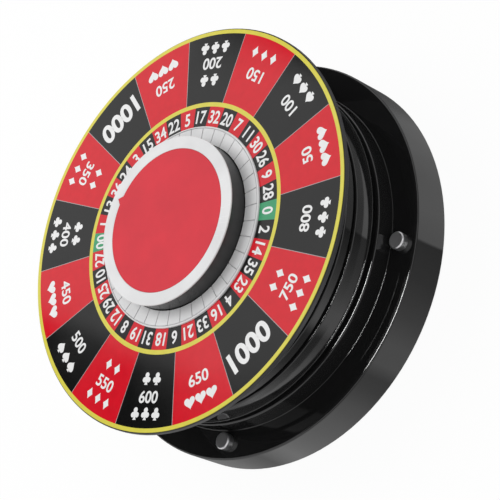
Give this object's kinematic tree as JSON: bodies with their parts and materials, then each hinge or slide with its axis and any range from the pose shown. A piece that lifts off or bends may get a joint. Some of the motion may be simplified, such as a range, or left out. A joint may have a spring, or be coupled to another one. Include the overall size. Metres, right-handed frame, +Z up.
{
  "type": "roulette wheel",
  "caption": "Battery tabletop roulette: a printed disc with numbered pockets turns round a fixed centre cap with an arrow, over a round black base with chrome push buttons.",
  "frame": {"origin": "middle of the surface that the rubber feet stand on, on the wheel's axis", "axes": "+Z up along the wheel's axis; +X, +Y, -X and -Y each run through the middle of one button, and +X is the side of the button that faces the viewer at the right"},
  "size_m": [0.212, 0.212, 0.0884],
  "materials": {
    "gloss_black": "glossy black moulded plastic",
    "satin_black": "satin black moulded plastic",
    "disc": "black plastic plate with a rounded edge",
    "print": "printed sheet in red, black, yellow, green and white",
    "pale_ring": "pale grey moulded plastic",
    "charcoal": "charcoal moulded plastic",
    "white_cap": "white moulded plastic",
    "red_inlay": "red satin plastic",
    "chrome": "bright plated metal",
    "steel": "plain steel",
    "bronze": "sintered bronze",
    "nylon": "natural nylon",
    "rubber": "black rubber",
    "board": "green lacquered circuit board",
    "chip": "black moulding compound",
    "can_sleeve": "blue shrink sleeve",
    "connector": "white connector housing",
    "cell_sleeve": null,
    "wire_red": "red insulated wire",
    "wire_blue": "blue insulated wire",
    "wire_yellow": "yellow insulated wire",
    "slider": "grey moulded plastic"
  },
  "bodies": {
    "base": {"base_shell": "gloss_black", "upper_housing": "gloss_black", "bottom_cover": "satin_black", "battery_door": "satin_black", "door_screw": "steel", "rubber_feet": "rubber", "case_screws": "steel", "spindle": "steel", "spindle_nut": "steel", "thrust_washer": "nylon", "top_washer": "nylon", "spindle_clip": "steel", "knob_drum": "charcoal", "knob_cap": "white_cap", "knob_inlay": "red_inlay", "knob_screw": "steel", "motor_can": "steel", "motor_end_cap": "connector", "motor_screws": "steel", "control_board": "board", "control_chip": "chip", "capacitor": "can_sleeve", "lead_connectors": "connector", "board_screws": "steel", "power_switch": "steel", "button_board": "board", "button_board_screws": "steel", "tact_switches": "chip", "button_spring_1": "steel", "button_spring_2": "steel", "button_spring_3": "steel", "button_spring_4": "steel", "battery_1": "cell_sleeve", "battery_2": "cell_sleeve", "battery_3": "cell_sleeve", "negative_contacts": "steel", "positive_contacts": "steel", "battery_leads": "wire_red", "motor_leads": "wire_blue", "button_leads": "wire_yellow"},
    "wheel": {"platter": "gloss_black", "disc_plate": "disc", "printed_face": "print", "pocket_ring": "pale_ring", "disc_screws": "steel", "drive_gear": "nylon", "gear_screws": "steel", "lower_bush": "bronze", "upper_bush": "bronze"},
    "pinion": {"motor_shaft": "steel", "motor_pinion": "nylon"},
    "button_1": {"button_1": "chrome"},
    "button_2": {"button_2": "chrome"},
    "button_3": {"button_3": "chrome"},
    "button_4": {"button_4": "chrome"},
    "power_slider": {"power_slider": "slider"}
  },
  "joints": [
    {"name": "wheel_spin", "type": "hinge", "parent": "base", "child": "wheel", "pos_m": [0, 0, 0.0742], "axis": [0, 0, 1], "continuous": true},
    {"name": "pinion_spin", "type": "hinge", "parent": "base", "child": "pinion", "pos_m": [0.018, 0.03118, 0.0562], "axis": [0, 0, 1], "continuous": true},
    {"name": "button_1_press", "type": "slide", "parent": "base", "child": "button_1", "axis": [0, 0, -1], "range_m": [0, 0.002], "stiffness_N_per_m": 500, "springref_m": -0.002, "deforming": ["button_spring_1"]},
    {"name": "button_2_press", "type": "slide", "parent": "base", "child": "button_2", "axis": [0, 0, -1], "range_m": [0, 0.002], "stiffness_N_per_m": 500, "springref_m": -0.002, "deforming": ["button_spring_2"]},
    {"name": "button_3_press", "type": "slide", "parent": "base", "child": "button_3", "axis": [0, 0, -1], "range_m": [0, 0.002], "stiffness_N_per_m": 500, "springref_m": -0.002, "deforming": ["button_spring_3"]},
    {"name": "button_4_press", "type": "slide", "parent": "base", "child": "button_4", "axis": [0, 0, -1], "range_m": [0, 0.002], "stiffness_N_per_m": 500, "springref_m": -0.002, "deforming": ["button_spring_4"]},
    {"name": "power_slide", "type": "slide", "parent": "base", "child": "power_slider", "axis": [0, 1, 0], "range_m": [0, 0.003]}
  ],
  "couplings": [
    {"joint": "pinion_spin", "follows": "wheel_spin", "ratio": -5}
  ]
}
